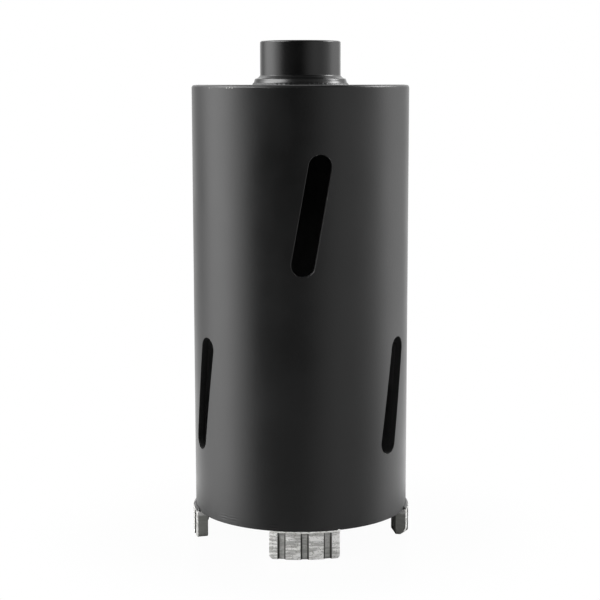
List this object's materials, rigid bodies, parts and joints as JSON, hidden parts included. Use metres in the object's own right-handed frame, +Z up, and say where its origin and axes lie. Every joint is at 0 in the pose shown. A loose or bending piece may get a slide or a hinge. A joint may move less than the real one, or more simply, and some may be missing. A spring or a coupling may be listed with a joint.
{
  "type": "diamond core bit",
  "caption": "Dry core bit: a black slotted steel barrel with grooved diamond segments on its rim and a threaded hub for the drill's spindle.",
  "frame": {"origin": "centre of the bit's axis in the plane of the segment tips", "axes": "+Z up along the drilling axis, from the tips to the hub; -Y is the front segment"},
  "size_m": [0.078, 0.078, 0.1749],
  "materials": {
    "black_paint": "satin",
    "sintered_metal": "rough",
    "solder": "satin"
  },
  "bodies": {
    "root": {"barrel": "black_paint", "end_plate": "black_paint", "plate_weld": "black_paint", "hub": "black_paint", "hub_weld": "black_paint", "segment_front": "sintered_metal", "segment_right": "sintered_metal", "segment_back": "sintered_metal", "segment_left": "sintered_metal", "braze_front": "solder", "braze_right": "solder", "braze_back": "solder", "braze_left": "solder"}
  },
  "joints": []
}
